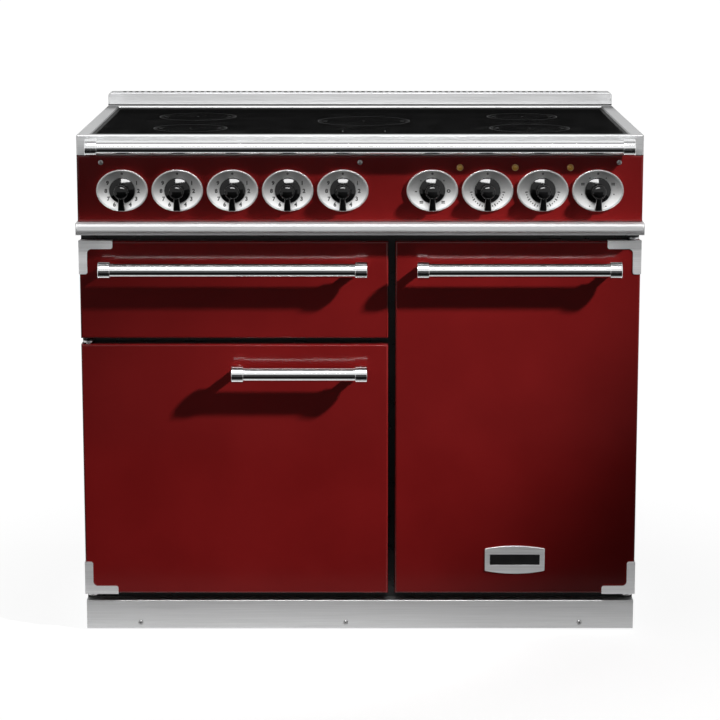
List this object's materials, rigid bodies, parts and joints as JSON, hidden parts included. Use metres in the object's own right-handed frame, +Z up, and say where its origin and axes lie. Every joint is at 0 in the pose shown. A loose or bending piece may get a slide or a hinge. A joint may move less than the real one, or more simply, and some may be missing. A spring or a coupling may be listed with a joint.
{
  "type": "induction range cooker",
  "caption": "Free-standing induction range cooker with a drop-down grill door, a side-hung oven door, a tall side-hung oven door, lever knobs, a hand rail and a slotted rear upstand.",
  "frame": {"origin": "middle of the bounding box at floor level", "axes": "+X to the right seen from the front, +Y from the doors to the wall, +Z up"},
  "size_m": [0.995, 0.65, 0.93],
  "materials": {
    "red_enamel": "gloss",
    "brushed_steel": "satin",
    "dial_steel": "satin",
    "polished_steel": "polished",
    "black_glass": "gloss",
    "black_enamel": "satin",
    "cavity_enamel": "gloss",
    "dark_paint": "satin",
    "galvanised_steel": "satin",
    "black_plastic": "satin",
    "knob_black": "gloss",
    "switch_plastic": "matte",
    "amber_lens": "gloss",
    "element_steel": "satin",
    "bright_wire": "polished",
    "pan_enamel": "gloss",
    "seal_rubber": "matte",
    "hinge_steel": "satin",
    "aluminium": "satin",
    "coil_copper": "satin"
  },
  "bodies": {
    "chassis": {"base_tray": "galvanised_steel", "side_panels": "dark_paint", "back_panel": "galvanised_steel", "mains_inlet": "black_plastic", "front_frame": "black_enamel", "plinth": "brushed_steel", "hob_tray": "brushed_steel", "hob_glass": "black_glass", "rear_upstand": "brushed_steel", "hand_rail_bar": "polished_steel", "hand_rail_posts": "polished_steel", "control_fascia": "red_enamel", "fascia_trim": "brushed_steel", "dial_plates": "dial_steel", "neon_lamps": "amber_lens", "front_screws": "polished_steel", "rotary_switches": "switch_plastic", "grill_cavity": "cavity_enamel", "left_oven_cavity": "cavity_enamel", "right_oven_cavity": "cavity_enamel", "heating_elements": "element_steel", "fan_motors": "galvanised_steel", "fan_covers": "cavity_enamel", "shelf_runners": "bright_wire", "oven_shelves": "bright_wire", "grill_pan": "pan_enamel", "door_seals": "seal_rubber", "door_hinges": "hinge_steel", "induction_casing": "aluminium", "induction_coils": "coil_copper"},
    "grill_door": {"grill_door_skin": "red_enamel", "grill_door_liner": "cavity_enamel", "grill_handle_bar": "polished_steel", "grill_handle_posts": "polished_steel", "grill_door_corner": "brushed_steel"},
    "left_oven_door": {"left_oven_door_skin": "red_enamel", "left_oven_door_liner": "cavity_enamel", "left_oven_handle_bar": "polished_steel", "left_oven_handle_posts": "polished_steel", "left_oven_door_corner": "brushed_steel"},
    "right_oven_door": {"right_oven_door_skin": "red_enamel", "right_oven_door_liner": "cavity_enamel", "right_oven_handle_bar": "polished_steel", "right_oven_handle_posts": "polished_steel", "right_oven_door_corners": "brushed_steel", "badge_plate": "brushed_steel"},
    "hob_knob_front_left": {"hob_knob_front_left": "knob_black"},
    "hob_knob_rear_left": {"hob_knob_rear_left": "knob_black"},
    "hob_knob_centre": {"hob_knob_centre": "knob_black"},
    "hob_knob_rear_right": {"hob_knob_rear_right": "knob_black"},
    "hob_knob_front_right": {"hob_knob_front_right": "knob_black"},
    "oven_function_knob": {"oven_function_knob": "knob_black"},
    "left_oven_knob": {"left_oven_knob": "knob_black"},
    "right_oven_knob": {"right_oven_knob": "knob_black"},
    "grill_knob": {"grill_knob": "knob_black"},
    "left_oven_fan": {"left_oven_fan": "aluminium"},
    "right_oven_fan": {"right_oven_fan": "aluminium"},
    "levelling_foot_left": {"levelling_foot_left": "black_plastic"},
    "levelling_foot_right": {"levelling_foot_right": "black_plastic"},
    "rear_rollers": {"rear_rollers": "black_plastic"}
  },
  "joints": [
    {"name": "grill_door_hinge", "type": "hinge", "parent": "chassis", "child": "grill_door", "pos_m": [-0.22275, -0.254, 0.5535], "axis": [1, 0, 0], "range_deg": [0, 90]},
    {"name": "left_oven_door_hinge", "type": "hinge", "parent": "chassis", "child": "left_oven_door", "pos_m": [-0.4835, -0.254, 0.3], "axis": [0, 0, -1], "range_deg": [0, 105]},
    {"name": "right_oven_door_hinge", "type": "hinge", "parent": "chassis", "child": "right_oven_door", "pos_m": [0.4835, -0.254, 0.4], "axis": [0, 0, 1], "range_deg": [0, 105]},
    {"name": "hob_knob_front_left_turn", "type": "hinge", "parent": "chassis", "child": "hob_knob_front_left", "pos_m": [-0.416, -0.3, 0.808], "axis": [0, 1, 0], "range_deg": [0, 300]},
    {"name": "hob_knob_rear_left_turn", "type": "hinge", "parent": "chassis", "child": "hob_knob_rear_left", "pos_m": [-0.3195, -0.3, 0.808], "axis": [0, 1, 0], "range_deg": [0, 300]},
    {"name": "hob_knob_centre_turn", "type": "hinge", "parent": "chassis", "child": "hob_knob_centre", "pos_m": [-0.223, -0.3, 0.808], "axis": [0, 1, 0], "range_deg": [0, 300]},
    {"name": "hob_knob_rear_right_turn", "type": "hinge", "parent": "chassis", "child": "hob_knob_rear_right", "pos_m": [-0.1265, -0.3, 0.808], "axis": [0, 1, 0], "range_deg": [0, 300]},
    {"name": "hob_knob_front_right_turn", "type": "hinge", "parent": "chassis", "child": "hob_knob_front_right", "pos_m": [-0.03, -0.3, 0.808], "axis": [0, 1, 0], "range_deg": [0, 300]},
    {"name": "oven_function_knob_turn", "type": "hinge", "parent": "chassis", "child": "oven_function_knob", "pos_m": [0.1265, -0.3, 0.808], "axis": [0, 1, 0], "range_deg": [0, 300]},
    {"name": "left_oven_knob_turn", "type": "hinge", "parent": "chassis", "child": "left_oven_knob", "pos_m": [0.223, -0.3, 0.808], "axis": [0, 1, 0], "range_deg": [0, 265]},
    {"name": "right_oven_knob_turn", "type": "hinge", "parent": "chassis", "child": "right_oven_knob", "pos_m": [0.3195, -0.3, 0.808], "axis": [0, 1, 0], "range_deg": [0, 265]},
    {"name": "grill_knob_turn", "type": "hinge", "parent": "chassis", "child": "grill_knob", "pos_m": [0.416, -0.3, 0.808], "axis": [0, 1, 0], "range_deg": [-150, 150]},
    {"name": "left_oven_fan_spin", "type": "hinge", "parent": "chassis", "child": "left_oven_fan", "pos_m": [-0.22275, 0.145, 0.30175], "axis": [0, 1, 0], "continuous": true},
    {"name": "right_oven_fan_spin", "type": "hinge", "parent": "chassis", "child": "right_oven_fan", "pos_m": [0.279, 0.145, 0.3945], "axis": [0, 1, 0], "continuous": true},
    {"name": "levelling_foot_left_slide", "type": "slide", "parent": "chassis", "child": "levelling_foot_left", "axis": [0, 0, -1], "range_m": [0, 0.025]},
    {"name": "levelling_foot_right_slide", "type": "slide", "parent": "chassis", "child": "levelling_foot_right", "axis": [0, 0, -1], "range_m": [0, 0.025]},
    {"name": "rear_roller_spin", "type": "hinge", "parent": "chassis", "child": "rear_rollers", "pos_m": [0, 0.24, 0.02], "axis": [1, 0, 0], "continuous": true}
  ]
}
